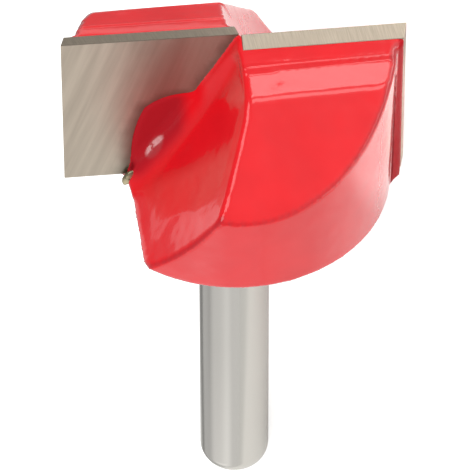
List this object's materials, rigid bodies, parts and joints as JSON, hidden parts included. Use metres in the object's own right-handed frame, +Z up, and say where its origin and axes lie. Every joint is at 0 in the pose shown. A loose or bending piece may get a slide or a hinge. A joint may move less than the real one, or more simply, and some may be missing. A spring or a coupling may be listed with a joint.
{
  "type": "surfacing router bit",
  "caption": "Surfacing router bit with two brazed carbide plates on a red enamelled steel head and a plain round shank.",
  "frame": {"origin": "under the middle of the bounding box, on the surface the bit lies on", "axes": "+X along the bit from the shank towards the cutting end, +Z up as the bit lies at rest"},
  "size_m": [0.071, 0.035, 0.0373],
  "materials": {
    "red_enamel": "gloss enamel",
    "ground_steel": "centreless ground",
    "carbide": "ground tungsten carbide",
    "silver_solder": "brazed seam"
  },
  "bodies": {
    "root": {"cutter_body": "red_enamel", "carbide_tip_long": "carbide", "carbide_tip_short": "carbide", "braze_seam_long": "silver_solder", "braze_seam_short": "silver_solder"}
  },
  "joints": []
}
